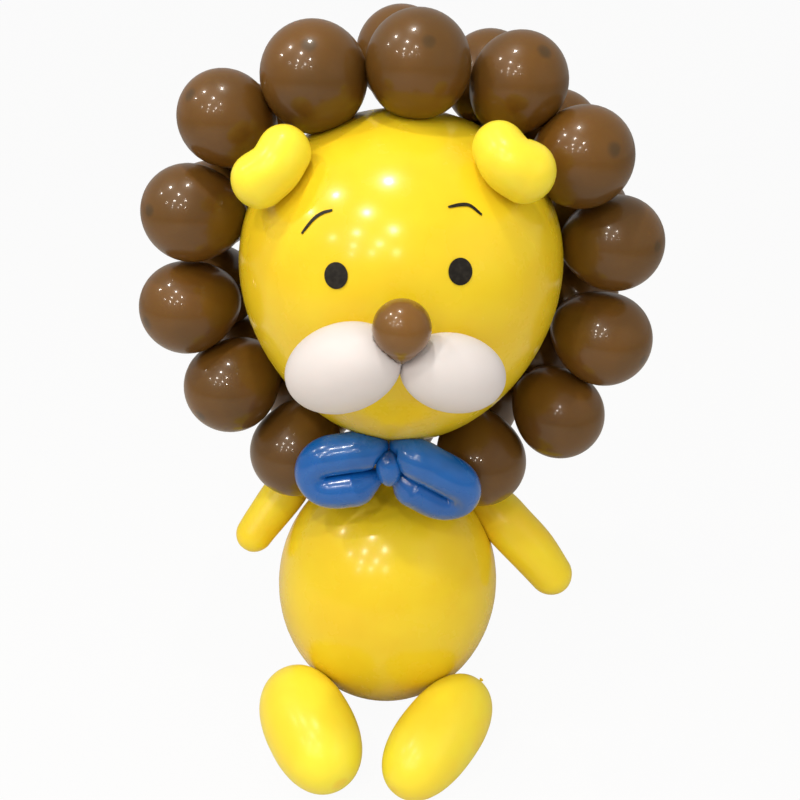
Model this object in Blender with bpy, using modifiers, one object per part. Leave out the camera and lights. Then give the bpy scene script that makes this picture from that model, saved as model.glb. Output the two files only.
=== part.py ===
"""A balloon lion that sits on the floor, about a metre tall, made of tied latex balloons.

Metres, +Z up, the floor at z = 0, the face looking along -Y. Angles are in degrees. A turn is
counted from the front towards +X, and a rise from level upwards. A lift is the height of a
point above the skin of a balloon.
"""

import math

import bmesh
import bpy
from mathutils import Vector

for old in list(bpy.data.objects):
    bpy.data.objects.remove(old, do_unlink=True)

# Air kept between pieces that touch
GAP = 0.0003

# Body, a round balloon a little taller than wide, pressed flat where it sits
BODY_D = 0.318
BODY_H = 0.3594
BODY_SINK = 0.0066
BODY_LEAN = 4.0
BODY_NECK_D = 0.030
BODY_NECK = 0.040

# Head, the largest balloon, fuller at the top, its neck tied to the neck of the body. Its chin
# hangs lower than an even balloon would.
HEAD_D = 0.3976
HEAD_H = 0.4028
HEAD_TAPER = 0.08
HEAD_CHIN = 0.0133
HEAD_NECK_D = 0.030
HEAD_NECK = 0.0465
HEAD_SIDE = 0.0042
HEAD_FORWARD = 0.0084

# Mane, two rows of round balloons with as many places as fit around the head
MANE_PLACES = 14
MANE_SPARE = 0.0111
MANE_FORWARD = 0.0116
MANE_NECK_D = 0.010
MANE_NECK = 0.010
MANE_ROW_STEP = 0.104
MANE_TIE_REACH = 0.80
MANE_TIE_SHARE = 0.46

# Clock angle seen from the front, distance from the middle, size and place forwards of each
# balloon as tied, the last three as shares of an even ring. In the front row the lowest place
# stays open for the neck of the body.
FRONT_ROW = (
    (337.8, 0.964, 0.967, 0.037),
    (4.3, 0.946, 0.935, 0.081),
    (30.0, 1.002, 0.885, 0.0),
    (53.8, 0.963, 0.945, 0.096),
    (81.1, 0.988, 0.962, 0.0),
    (107.8, 1.015, 0.993, 0.0),
    (131.8, 1.058, 0.970, 0.0),
    (156.8, 1.045, 1.010, 0.0),
    (210.5, 1.027, 1.008, 0.0),
    (237.0, 0.975, 0.995, 0.0),
    (262.4, 1.000, 0.965, 0.0),
    (288.3, 0.985, 0.958, 0.0),
    (313.6, 1.042, 0.880, 0.0),
)
BACK_ROW = (358.0, 25.4, 50.5, 79.0, 104.0, 128.0, 153.5, 182.5, 210.5, 236.5, 262.0, 286.8,
            310.5, 333.8)
BACK_ROW_REACH = 0.93
BACK_ROW_SIZE = 0.93

# Nose and the two balloons of the muzzle
NOSE_D = 0.060
NOSE_RISE = 6.5
NOSE_LIFT = 0.0495
NOSE_NECK_D = 0.008
NOSE_NECK = 0.0085
MUZZLE_DEPTH_SHARE = 0.8
MUZZLE_NECK_D = 0.010
MUZZLE_NECK = 0.004
MUZZLE_LEFT = {"wide": 0.0944, "long": 0.134, "turn": -15.4, "rise": -6.3, "slope": 25.0}
MUZZLE_RIGHT = {"wide": 0.0844, "long": 0.1192, "turn": 13.8, "rise": -8.3, "slope": 18.6}

# Eyes and brows, thin vinyl stickers
STICKER = 0.0005
STICKER_LIFT = 0.0004
EYE_LEFT = {"wide": 0.0280, "high": 0.0295, "turn": -20.7, "rise": 17.0}
EYE_RIGHT = {"wide": 0.0280, "high": 0.0300, "turn": 18.5, "rise": 18.4}
BROW_W = 0.0031
BROW_LEFT = ((-35.6, 27.8), (-32.5, 32.6), (-29.5, 35.1), (-25.7, 36.5))
BROW_RIGHT = ((17.2, 38.1), (22.0, 38.5), (25.9, 37.9), (29.6, 34.5))

# Ears, short thick bubbles that bend round the head: turn, rise and thickness from end to end
EAR_END = 0.9
EAR_LEFT = ((-51.7, 48.5, 0.0568), (-51.2, 42.8, 0.0640), (-54.8, 37.5, 0.0598))
EAR_RIGHT = ((42.5, 51.0, 0.0558), (42.0, 45.2, 0.0660), (46.5, 40.8, 0.0664))

# Bow, two loops of a long thin balloon and the bubble that holds them
BOW_TUBE_D = 0.0488
BOW_SLIT = 0.0024
BOW_BEND = 0.62
BOW_TIP = 0.80
BOW_ROOTS = (((0.15, 0.20, 0.20), (0.23, 0.42, 0.38), (0.38, 0.54, 0.62)),
             ((0.15, -0.12, 0.20), (0.26, -0.25, 0.37), (0.41, -0.36, 0.55)))
BOW_FULL = (0.72, 0.95)
BOW_SIDE = -0.0152
BOW_FORWARD = 0.0966
BOW_BELOW_CHIN = 0.0203
BOW_TILT = 4.0
BOW_LEFT = {"long": 0.119, "droop": 9.5, "raise": 0.0070, "twist": 0.0}
BOW_RIGHT = {"long": 0.127, "droop": 30.4, "raise": 0.0135, "twist": 30.0}
BOW_KNOT_D = 0.0328
BOW_KNOT_H = 0.0478
BOW_KNOT_FORWARD = 0.0120
BOW_KNOT_RAISE = 0.0067

# Arms, tied at the shoulders and pressed against the body: turn, rise and lift of the middle
# line over the body, and how far the balloon has filled out there
ARM_LEFT_D = 0.0620
ARM_RIGHT_D = 0.0724
ARM_LEFT = ((-116.0, 60.0, 0.0160, 0.24), (-113.5, 51.0, 0.0255, 0.60), (-110.3, 40.1, 0.0326, 0.98),
            (-104.6, 34.0, 0.0328, 1.0), (-97.9, 26.1, 0.0375, 0.93), (-94.3, 21.6, 0.0428, 0.88),
            (-89.1, 14.3, 0.0540, 0.80))
ARM_RIGHT = ((114.0, 56.0, 0.0120, 0.24), (110.0, 46.5, 0.0160, 0.58), (105.5, 37.5, 0.0200, 0.86),
             (98.1, 29.8, 0.0270, 0.98), (93.4, 23.9, 0.0350, 1.0), (89.8, 13.6, 0.0556, 0.98),
             (87.5, 4.0, 0.0798, 0.86), (86.2, -1.2, 0.0981, 0.78))

# Legs, thick long balloons that lie in front of the body, toes inward and heels up
LEG_SINK = 0.0015
LEG_NECK_D = 0.010
LEG_NECK = 0.012
LEG_FULLNESS = 2.3
LEG_HEEL_UP = 11.5
LEG_LEFT = {"wide": 0.1190, "long": 0.187, "side": -0.1040, "toe_in": 29.1}
LEG_RIGHT = {"wide": 0.1080, "long": 0.195, "side": 0.0695, "toe_in": 37.6}

YELLOW = ("yellow_latex", (0.87, 0.61, 0.02), 0.28)
BROWN = ("brown_latex", (0.12, 0.055, 0.02), 0.22)
WHITE = ("white_latex", (0.86, 0.80, 0.80), 0.55)
BLUE = ("blue_latex", (0.015, 0.13, 0.45), 0.22)
BLACK = ("black_vinyl", (0.012, 0.010, 0.008), 0.45)

UP = Vector((0.0, 0.0, 1.0))

lion = bpy.data.collections.new("balloon_lion")
cutters = bpy.data.collections.new("cutters")
for group in (lion, cutters):
    bpy.context.scene.collection.children.link(group)


def material(finish):
    """The Principled material of a finish, made once."""
    name, colour, roughness = finish
    found = bpy.data.materials.get(name)
    if found:
        return found
    made = bpy.data.materials.new(name)
    made.use_nodes = True
    shader = made.node_tree.nodes["Principled BSDF"]
    shader.inputs["Base Color"].default_value = (*colour, 1.0)
    shader.inputs["Roughness"].default_value = roughness
    shader.inputs["Metallic"].default_value = 0.0
    return made


def add_object(name, data, finish=None, group=lion):
    piece = bpy.data.objects.new(name, data)
    group.objects.link(piece)
    if finish:
        data.materials.append(material(finish))
    if group is cutters:
        piece.hide_render = True
        piece.display_type = "WIRE"
    return piece


def direction(turn, rise):
    turn, rise = math.radians(turn), math.radians(rise)
    return Vector((math.cos(rise) * math.sin(turn), -math.cos(rise) * math.cos(turn), math.sin(rise)))


class Skin:
    """The smooth skin of an upright balloon, to place things on.

    taper makes the top fuller, and chin is how far the bottom hangs lower.
    """

    def __init__(self, centre, wide, high, taper=0.0, chin=0.0):
        self.centre = Vector(centre)
        self.radius = wide / 2
        self.half = high / 2
        self.taper = taper
        self.chin = chin

    def ring(self, rise):
        """Radius and height of the skin at a rise, and the same for its outward normal."""
        rise = math.radians(rise)
        below = min(math.sin(rise), 0.0)
        radius = self.radius * math.cos(rise) * (1.0 + self.taper * math.sin(rise))
        height = self.half * math.sin(rise) - self.chin * below**2
        normal = Vector((math.cos(rise) * (self.half - 2 * self.chin * below),
                         self.radius * (math.sin(rise) - self.taper * math.cos(2 * rise))))
        return radius, height, normal.normalized()

    def normal(self, turn, rise):
        flat, up = self.ring(rise)[2]
        turn = math.radians(turn)
        return Vector((math.sin(turn) * flat, -math.cos(turn) * flat, up))

    def point(self, turn, rise, lift=0.0):
        radius, height, _ = self.ring(rise)
        angle = math.radians(turn)
        on_skin = Vector((math.sin(angle) * radius, -math.cos(angle) * radius, height))
        return self.centre + on_skin + self.normal(turn, rise) * lift

    def across(self, turn):
        """The level direction along the skin, towards +X at the front."""
        turn = math.radians(turn)
        return Vector((math.cos(turn), math.sin(turn), 0.0))

    def lift_of(self, place):
        """Height of a place over the skin, and the outward direction there."""
        off = place - self.centre
        flat = math.hypot(off.x, off.y)
        nearest = None
        for step in range(-90, 91, 2):
            radius, height, normal = self.ring(step)
            gap = Vector((flat - radius, off.z - height))
            if nearest is None or gap.length < nearest[0].length:
                nearest = (gap, normal)
        gap, normal = nearest
        way = Vector((off.x, off.y, 0.0)).normalized() * normal.x + UP * normal.y
        return gap.dot(normal), way


def profile_of(wide, high, rings, taper=0.0, fullness=2.0, chin=0.0):
    """Radius and height of each ring of a balloon, from its crown to where the neck begins.

    A fullness of 2 is an ellipse, and more than 2 is blunter. chin hangs the far end lower.
    """
    step = math.pi / (rings + 1)
    points = [(0.0, high / 2)]
    for k in range(1, rings + 1):
        across, along = math.sin(step * k), math.cos(step * k)
        radius = wide / 2 * across ** (2 / fullness) * (1.0 + taper * along)
        height = high / 2 * math.copysign(abs(along) ** (2 / fullness), along)
        points.append((radius, height - chin * min(along, 0.0) ** 2))
    return points


def balloon(name, centre, crown, profile, neck_d, neck, finish, sides, group=lion):
    """A turned balloon: its rings, and a neck that points away from its crown."""
    bottom = -profile[0][1] - neck
    profile = [*profile, (neck_d / 2, bottom), (0.0, bottom)]
    mesh = bpy.data.meshes.new(name)
    edges = [(k, k + 1) for k in range(len(profile) - 1)]
    mesh.from_pydata([(x, 0.0, z) for x, z in profile], edges, [])
    piece = add_object(name, mesh, finish, group)
    turned = piece.modifiers.new("turned", "SCREW")
    turned.axis = "Z"
    turned.steps = sides
    turned.render_steps = sides
    turned.use_merge_vertices = True
    turned.merge_threshold = 0.00005
    turned.use_smooth_shade = True
    piece.location = centre
    piece.rotation_euler = Vector(crown).to_track_quat("Z", "Y").to_euler()
    return piece


def cut(piece, cutter):
    removed = piece.modifiers.new(cutter.name, "BOOLEAN")
    removed.operation = "DIFFERENCE"
    removed.solver = "EXACT"
    removed.object = cutter


def curve_point(points, k, t):
    """A point on the smooth curve through the points, between points k and k + 1."""
    before = points[k - 1] if k else points[0] * 2 - points[1]
    after = points[k + 2] if k + 2 < len(points) else points[-1] * 2 - points[-2]
    start, end = points[k], points[k + 1]
    slope_a, slope_b = (end - before) / 2, (after - start) / 2
    return (start * (2 * t**3 - 3 * t**2 + 1) + slope_a * (t**3 - 2 * t**2 + t)
            + end * (3 * t**2 - 2 * t**3) + slope_b * (t**3 - t**2))


def smooth_path(points, fine=24):
    """Points close together along the smooth curve, with their distances from its start."""
    line = [curve_point(points, k, s / fine) for k in range(len(points) - 1) for s in range(fine)]
    line.append(points[-1])
    distances = [0.0]
    for a, b in zip(line, line[1:]):
        distances.append(distances[-1] + (b.xyz - a.xyz).length)
    return line, distances


def at_distance(line, distances, wanted):
    for k in range(len(line) - 1):
        if distances[k + 1] >= wanted:
            share = (wanted - distances[k]) / (distances[k + 1] - distances[k])
            return line[k].lerp(line[k + 1], share)
    return line[-1]


def tube(name, stations, finish, sides, sections, round_start=False, round_end=True):
    """A bent balloon along a smooth path through stations of (point, diameter)."""
    line, distances = smooth_path([Vector((*point, diameter)) for point, diameter in stations])
    length = distances[-1]
    round_off = (0.0, 0.04, 0.16, 0.40, 0.75)
    start = stations[0][1] / 2 if round_start else 0.0
    end = stations[-1][1] / 2 if round_end else 0.0
    places = [start * share for share in round_off] if round_start else []
    places += [start + (length - start - end) * k / (sections - 1) for k in range(sections)]
    places += [length - end * share for share in reversed(round_off)] if round_end else []
    data = bpy.data.curves.new(name, "CURVE")
    data.dimensions = "3D"
    data.bevel_depth = 1.0
    data.bevel_resolution = (sides - 4) // 2
    data.use_fill_caps = True
    spline = data.splines.new("POLY")
    spline.points.add(len(places) - 1)
    spline.use_smooth = True
    for point, place in zip(spline.points, places):
        here = at_distance(line, distances, place)
        filled = 1.0
        for near, size in ((place, start), (length - place, end)):
            if size and near < size:
                filled = min(filled, max(math.sqrt(1.0 - (1.0 - near / size) ** 2), 0.18))
        point.co = (*here.xyz, 1.0)
        point.radius = here.w / 2 * filled
    return add_object(name, data, finish)


def as_mesh(piece):
    """Turns a curve into a mesh, which another piece can dent."""
    graph = bpy.context.evaluated_depsgraph_get()
    mesh = bpy.data.meshes.new_from_object(piece.evaluated_get(graph))
    weld = bmesh.new()
    weld.from_mesh(mesh)
    bmesh.ops.remove_doubles(weld, verts=weld.verts, dist=0.00001)
    weld.to_mesh(mesh)
    weld.free()
    name, place = piece.name, piece.matrix_world.copy()
    bpy.data.objects.remove(piece, do_unlink=True)
    solid = bpy.data.objects.new(name, mesh)
    lion.objects.link(solid)
    solid.matrix_world = place
    return solid


def settle(balls, skins, passes=300):
    """Pushes round balloons, each a [centre, radius], apart and off the skins of larger ones."""
    for _ in range(passes):
        moved = False
        for k, ball in enumerate(balls):
            for skin in skins:
                lift, way = skin.lift_of(ball[0])
                if lift < ball[1] + GAP:
                    ball[0] += way * (ball[1] + GAP - lift + 1e-5)
                    moved = True
            for other in balls[:k]:
                away = ball[0] - other[0]
                short = ball[1] + other[1] + GAP - away.length
                if short > 1e-6:
                    ball[0] += away.normalized() * short / 2
                    other[0] -= away.normalized() * short / 2
                    moved = True
        if not moved:
            break


def gather(balls, skins):
    """Draws round balloons together, nearest first, until all of them hold on to the skins."""
    held = -1
    group = list(range(len(balls)))
    while set(group) != {held}:
        pairs = []
        for k, (centre, radius) in enumerate(balls):
            if group[k] == held:
                continue
            for skin in skins:
                lift, way = skin.lift_of(centre)
                pairs.append((lift - radius, k, held, -way))
            for j, (other, size) in enumerate(balls):
                if group[j] != group[k]:
                    way = other - centre
                    pairs.append((way.length - radius - size, k, group[j], way.normalized()))
        air, k, joined, way = min(pairs, key=lambda pair: pair[0])
        moving = group[k]
        for j, ball in enumerate(balls):
            if group[j] == moving:
                ball[0] += way * max(air - GAP, 0.0)
                group[j] = joined


def push_back(middle, axis, profile, skin):
    """Slides a balloon level, towards +Y, until only the gap is left between it and a skin."""
    sides = 16
    across = axis.orthogonal().normalized()
    over = axis.cross(across)
    surface = []
    for radius, height in profile:
        for k in range(sides):
            angle = 2 * math.pi * k / sides
            way = across * math.cos(angle) + over * math.sin(angle)
            surface.append(axis * height + way * radius)
    for _ in range(12):
        lift = min(skin.lift_of(middle + point)[0] for point in surface)
        middle.y += (lift - GAP) * 0.9


# Where the large balloons sit
lean = math.radians(BODY_LEAN)
body_up = Vector((math.sin(lean), 0.0, math.cos(lean)))
body_middle = Vector((0.0, 0.0, BODY_H / 2 - BODY_SINK))
joint = body_middle + body_up * (BODY_H / 2 + BODY_NECK)
tip_rise = BODY_NECK_D / 2 * math.sin(lean)
head_middle = joint + Vector((HEAD_SIDE, -HEAD_FORWARD, tip_rise + GAP + HEAD_NECK + HEAD_H / 2))
body_skin = Skin(body_middle, BODY_D, BODY_H)
head_skin = Skin(head_middle, HEAD_D, HEAD_H, HEAD_TAPER, HEAD_CHIN)
chin = head_middle.z - HEAD_H / 2

# An even ring of touching balloons around the head
place_sine = math.sin(math.pi / MANE_PLACES)
ring_radius = (HEAD_D / 2 + MANE_SPARE) / (1.0 - place_sine)
mane_d = 2 * ring_radius * place_sine - GAP
ring_middle = head_middle - Vector((0.0, MANE_FORWARD, 0.0))


def floor_cutter():
    """A block under the floor, which gives what sits on it its flat spots."""
    bpy.ops.mesh.primitive_cube_add(size=1.0, location=(0.0, 0.0, -0.5))
    block = bpy.context.active_object
    block.name = "floor_cutter"
    for group in block.users_collection:
        group.objects.unlink(block)
    cutters.objects.link(block)
    block.hide_render = True
    block.display_type = "WIRE"
    return block


def large_cutters():
    """The head and the body with their gap around them, which dent what presses on them."""
    more = 2 * GAP
    head_cutter = balloon("head_cutter", head_middle, UP,
                          profile_of(HEAD_D + more, HEAD_H + more, 11, HEAD_TAPER, chin=HEAD_CHIN),
                          HEAD_NECK_D, HEAD_NECK, None, 28, cutters)
    body_cutter = balloon("body_cutter", body_middle, -body_up,
                          profile_of(BODY_D + more, BODY_H + more, 11), BODY_NECK_D + more,
                          BODY_NECK, None, 26, cutters)
    return head_cutter, body_cutter


def make_body(floor):
    body = balloon("body", body_middle, -body_up, profile_of(BODY_D, BODY_H, 11), BODY_NECK_D,
                   BODY_NECK, YELLOW, 26)
    cut(body, floor)


def make_head():
    balloon("head", head_middle, UP, profile_of(HEAD_D, HEAD_H, 11, HEAD_TAPER, chin=HEAD_CHIN),
            HEAD_NECK_D, HEAD_NECK, YELLOW, 28)


def ring_place(clock, reach, back):
    """A place on the ring by its clock angle from the top, seen from the front."""
    clock = math.radians(clock)
    reach *= ring_radius
    return ring_middle + Vector((math.sin(clock) * reach, back, math.cos(clock) * reach))


def under_chin(clock):
    """How much lower a balloon of the back row hangs, because of the chin above it."""
    return UP * HEAD_CHIN * min(math.cos(math.radians(clock)), 0.0) ** 2


def make_mane():
    """The front row, and behind it the back row, which fills the gaps."""
    front = [[ring_place(clock, reach, -forward * ring_radius), mane_d / 2 * size]
             for clock, reach, size, forward in FRONT_ROW]
    back = [[ring_place(clock, BACK_ROW_REACH, MANE_ROW_STEP) - under_chin(clock),
             mane_d / 2 * BACK_ROW_SIZE] for clock in BACK_ROW]
    settle(front + back, (head_skin, body_skin))
    gather(front + back, (head_skin, body_skin))
    for row, balls in (("front", front), ("back", back)):
        for k, (centre, radius) in enumerate(balls, 1):
            outward = Vector((centre.x - ring_middle.x, 0.0, centre.z - ring_middle.z)).normalized()
            tie = ring_middle + outward * ring_radius * MANE_TIE_REACH
            tie.y += MANE_ROW_STEP * MANE_TIE_SHARE
            balloon(f"mane_{row}_{k:02d}", centre, (centre - tie).normalized(),
                    profile_of(2 * radius, 2 * radius, 5), MANE_NECK_D, MANE_NECK, BROWN, 14)


def make_nose():
    centre = head_skin.point(0.0, NOSE_RISE, NOSE_LIFT)
    balloon("nose", centre, UP, profile_of(NOSE_D, NOSE_D, 6), NOSE_NECK_D, NOSE_NECK, BROWN, 14)
    return centre


def make_muzzle(nose_middle, head_cutter):
    """Two egg-shaped balloons that press against the head, the nose and each other."""
    more = 2 * GAP
    nose_cutter = balloon("nose_cutter", nose_middle, UP, profile_of(NOSE_D + more, NOSE_D + more, 6),
                          NOSE_NECK_D + more, NOSE_NECK + GAP, None, 14, cutters)
    pressed = [head_cutter, nose_cutter]
    for side, egg, size in ((1.0, "muzzle_right", MUZZLE_RIGHT), (-1.0, "muzzle_left", MUZZLE_LEFT)):
        lift = size["wide"] / 2 * MUZZLE_DEPTH_SHARE
        centre = head_skin.point(size["turn"], size["rise"], lift)
        level = head_skin.across(size["turn"]) * side
        downhill = level.cross(head_skin.normal(size["turn"], size["rise"])) * side
        slope = math.radians(size["slope"])
        crown = level * math.cos(slope) + downhill * math.sin(slope)
        piece = balloon(egg, centre, crown, profile_of(size["wide"], size["long"], 8),
                        MUZZLE_NECK_D, MUZZLE_NECK, WHITE, 16)
        for cutter in pressed:
            cut(piece, cutter)
        pressed.append(balloon(egg + "_cutter", centre, crown,
                               profile_of(size["wide"] + more, size["long"] + more, 8),
                               MUZZLE_NECK_D + more, MUZZLE_NECK, None, 16, cutters))


def sticker(name, outline, faces_from):
    """A thin sheet on the skin of the head: outline gives (turn, rise) for each vertex."""
    mesh = bpy.data.meshes.new(name)
    vertices = [head_skin.point(turn, rise, STICKER_LIFT) for turn, rise in outline]
    mesh.from_pydata(vertices, [], faces_from)
    piece = add_object(name, mesh, BLACK)
    sheet = piece.modifiers.new("thickness", "SOLIDIFY")
    sheet.thickness = STICKER
    sheet.offset = 1.0
    return piece


def make_eyes():
    around = 20
    for name, eye in (("eye_left", EYE_LEFT), ("eye_right", EYE_RIGHT)):
        per_metre = math.degrees(2.0 / HEAD_D)
        outline = [(eye["turn"], eye["rise"])]
        for k in range(around):
            angle = 2 * math.pi * k / around
            turn = eye["wide"] / 2 * math.cos(angle) * per_metre / math.cos(math.radians(eye["rise"]))
            outline.append((eye["turn"] + turn, eye["rise"] + eye["high"] / 2 * math.sin(angle) * per_metre))
        faces = [(0, 1 + k, 1 + (k + 1) % around) for k in range(around)]
        sticker(name, outline, faces)


def make_brows():
    per_metre = math.degrees(2.0 / HEAD_D)
    across = 12
    for name, brow in (("brow_left", BROW_LEFT), ("brow_right", BROW_RIGHT)):
        points = [Vector((turn, rise, 0.0)) for turn, rise in brow]
        line, distances = smooth_path(points)
        outline = []
        for k in range(across + 1):
            share = k / across
            place = at_distance(line, distances, share * distances[-1])
            near = at_distance(line, distances, min(share + 0.02, 1.0) * distances[-1])
            far = at_distance(line, distances, max(share - 0.02, 0.0) * distances[-1])
            along = (near - far).normalized()
            width = BROW_W / 2 * per_metre * (0.35 + 0.65 * math.sin(math.pi * share))
            side = Vector((-along.y, along.x, 0.0)) * width
            for corner in (place + side, place - side):
                outline.append((corner.x, corner.y))
        faces = [(2 * k, 2 * k + 1, 2 * k + 3, 2 * k + 2) for k in range(across)]
        sticker(name, outline, faces)


def make_ears():
    for name, ear in (("ear_left", EAR_LEFT), ("ear_right", EAR_RIGHT)):
        inside = [(head_skin.point(turn, rise, thick / 2 + GAP), thick) for turn, rise, thick in ear]
        ends = []
        for (point, thick), (inner, _) in ((inside[0], inside[1]), (inside[2], inside[1])):
            ends.append((point + (point - inner).normalized() * thick / 2 * EAR_END, thick))
        tube(name, [ends[0], *inside, ends[1]], YELLOW, 12, 3, round_start=True)


def make_bow(head_cutter):
    tilt = math.radians(BOW_TILT)
    up = Vector((0.0, math.sin(tilt), math.cos(tilt)))
    front = Vector((0.0, -math.cos(tilt), math.sin(tilt)))
    middle = Vector((head_middle.x + BOW_SIDE, head_middle.y - BOW_FORWARD, chin - BOW_BELOW_CHIN))
    apart = (BOW_TUBE_D + BOW_SLIT) / 2
    knot_middle = middle + Vector((0.0, -BOW_KNOT_FORWARD, BOW_KNOT_RAISE))
    knot_cutter = balloon("knot_cutter", knot_middle, -up,
                          profile_of(BOW_KNOT_D + 2 * GAP, BOW_KNOT_H + 2 * GAP, 6),
                          0.006 + 2 * GAP, 0.001 + GAP, None, 12, cutters)
    for name, side, loop in (("bow_loop_left", -1.0, BOW_LEFT), ("bow_loop_right", 1.0, BOW_RIGHT)):
        droop, twist = math.radians(loop["droop"]), math.radians(loop["twist"])
        sideways = Vector((side, 0.0, 0.0))
        along = sideways * math.cos(droop) - up * math.sin(droop)
        over = sideways * math.sin(droop) + up * math.cos(droop)
        over = over * math.cos(twist) + front * math.sin(twist)
        bend = loop["long"] - BOW_TUBE_D * (BOW_TIP / 2 + BOW_BEND)
        start = middle + Vector((0.0, 0.0, loop["raise"]))
        halves = []
        for roots, first, way in zip(BOW_ROOTS, BOW_FULL, (1.0, -1.0)):
            half = [(middle + (sideways * out + up * rise) * BOW_TUBE_D, BOW_TUBE_D * full)
                    for out, rise, full in roots]
            shape = [(BOW_TUBE_D * first, apart, 1.0)]
            for angle in (90, 65, 40, 20):
                angle = math.radians(angle)
                shape.append((bend + BOW_TUBE_D * BOW_BEND * math.cos(angle),
                              apart * math.sin(angle), BOW_TIP + (1.0 - BOW_TIP) * math.sin(angle)))
            half += [(start + along * out + over * rise * way, BOW_TUBE_D * full)
                     for out, rise, full in shape]
            halves.append(half)
        tip = (start + along * (bend + BOW_TUBE_D * BOW_BEND), BOW_TUBE_D * BOW_TIP)
        stations = [*halves[0], tip, *reversed(halves[1])]
        bubble = as_mesh(tube(name, stations, BLUE, 10, 18, round_end=False))
        cut(bubble, knot_cutter)
        cut(bubble, head_cutter)
    balloon("bow_knot", knot_middle, -up, profile_of(BOW_KNOT_D, BOW_KNOT_H, 6), 0.006, 0.001,
            BLUE, 12)


def make_arms(body_cutter):
    for name, arm, wide in (("arm_left", ARM_LEFT, ARM_LEFT_D), ("arm_right", ARM_RIGHT, ARM_RIGHT_D)):
        stations = [(body_skin.point(turn, rise, lift), wide * full) for turn, rise, lift, full in arm]
        cut(as_mesh(tube(name, stations, YELLOW, 12, 8)), body_cutter)


def make_legs(floor):
    for name, side, leg in (("leg_left", 1.0, LEG_LEFT), ("leg_right", -1.0, LEG_RIGHT)):
        toe = direction(side * leg["toe_in"], -LEG_HEEL_UP)
        profile = profile_of(leg["wide"], leg["long"], 8, 0.0, LEG_FULLNESS)
        level = math.sqrt(1.0 - toe.z**2)
        depth = max(radius * level - along * toe.z for radius, along in profile)
        middle = Vector((body_middle.x + leg["side"], body_middle.y - (BODY_D + leg["long"]) / 2,
                         depth - LEG_SINK))
        push_back(middle, toe, profile, body_skin)
        piece = balloon(name, middle, toe, profile, LEG_NECK_D, LEG_NECK, YELLOW, 20)
        cut(piece, floor)


def centre_on_floor():
    """Moves the lion so that the middle of its box, seen from above, is at the origin."""
    bpy.context.view_layer.update()
    graph = bpy.context.evaluated_depsgraph_get()
    corners = []
    for piece in lion.objects:
        solid = piece.evaluated_get(graph)
        mesh = solid.to_mesh()
        corners += [solid.matrix_world @ vertex.co for vertex in mesh.vertices]
        solid.to_mesh_clear()
    shift = Vector((-(min(c.x for c in corners) + max(c.x for c in corners)) / 2,
                    -(min(c.y for c in corners) + max(c.y for c in corners)) / 2, 0.0))
    stand = bpy.data.objects.new("stand", None)
    lion.objects.link(stand)
    for piece in [*lion.objects, *cutters.objects]:
        if piece is not stand:
            piece.parent = stand
    stand.location = shift


floor_block = floor_cutter()
head_block, body_block = large_cutters()
make_body(floor_block)
make_head()
make_mane()
make_muzzle(make_nose(), head_block)
make_eyes()
make_brows()
make_ears()
make_bow(head_block)
make_arms(body_block)
make_legs(floor_block)
centre_on_floor()
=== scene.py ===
"""Looks of a balloon lion that sits on the floor, made of tied latex balloons.

Metres, +Z up, the face looking along -Y. A turn is counted from the front towards +X, and a
rise from level upwards, both in degrees.
"""

import math

import bmesh
import bpy
from mathutils import Matrix, Vector


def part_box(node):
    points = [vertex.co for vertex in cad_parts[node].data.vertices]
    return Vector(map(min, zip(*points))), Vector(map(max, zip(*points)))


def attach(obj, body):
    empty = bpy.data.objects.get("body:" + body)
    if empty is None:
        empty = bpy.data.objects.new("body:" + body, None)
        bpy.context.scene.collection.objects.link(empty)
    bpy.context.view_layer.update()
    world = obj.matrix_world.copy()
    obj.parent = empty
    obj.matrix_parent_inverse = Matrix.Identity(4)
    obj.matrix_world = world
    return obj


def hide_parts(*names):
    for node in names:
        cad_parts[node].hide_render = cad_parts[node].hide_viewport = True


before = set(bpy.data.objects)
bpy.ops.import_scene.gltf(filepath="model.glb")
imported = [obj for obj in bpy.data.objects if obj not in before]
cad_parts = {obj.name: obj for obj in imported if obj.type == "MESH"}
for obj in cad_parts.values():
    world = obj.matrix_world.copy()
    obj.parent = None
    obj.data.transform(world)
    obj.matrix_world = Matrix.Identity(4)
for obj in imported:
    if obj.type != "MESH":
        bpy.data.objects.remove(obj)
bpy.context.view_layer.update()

AIR = 0.0003
UP = Vector((0.0, 0.0, 1.0))
SAME_PLACE = 1e-5
SOFT_EDGE = 50.0

# The large balloons, as they are in the part
HEAD_D, HEAD_H, HEAD_TAPER, HEAD_CHIN = 0.3976, 0.4028, 0.08, 0.0133
BODY_D, BODY_H, BODY_SINK, BODY_LEAN = 0.318, 0.3594, 0.0066, 4.0
LARGE_RINGS, LARGE_SIDES, LARGE_LAST = 40, 72, 164.0

# Each tie: the diameter and length of the neck, the diameter of the knot, the length of the tail
HEAD_TIE = (0.024, 0.028, 0.024, 0.020)
BODY_TIE = (0.024, 0.026, 0.022, 0.018)
MANE_TIE = (0.0080, 0.0090, 0.0075, 0.0085)
LEG_TIE = (0.0056, 0.0090, 0.0048, 0.0042)

# Where the rings of a tie lie, as shares of the neck's length and of the tail's, and how wide they
# are, as shares of the neck's diameter where it is pinched and of the knot's further on
NECK_RINGS, NECK_PULL = (0.12, 0.26, 0.42, 0.58, 0.74, 0.88), 2.3
PINCH_RINGS = ((0.0, 0.42), (0.10, 0.30))
KNOT_RINGS = ((0.17, 0.40), (0.26, 0.50), (0.35, 0.47), (0.43, 0.34))
LIP_RINGS = ((0.50, 0.25), (0.60, 0.33), (0.74, 0.44), (0.88, 0.55), (0.95, 0.62), (1.0, 0.61),
             (1.0, 0.53), (0.95, 0.48), (0.90, 0.30), (0.88, 0.10))

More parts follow.
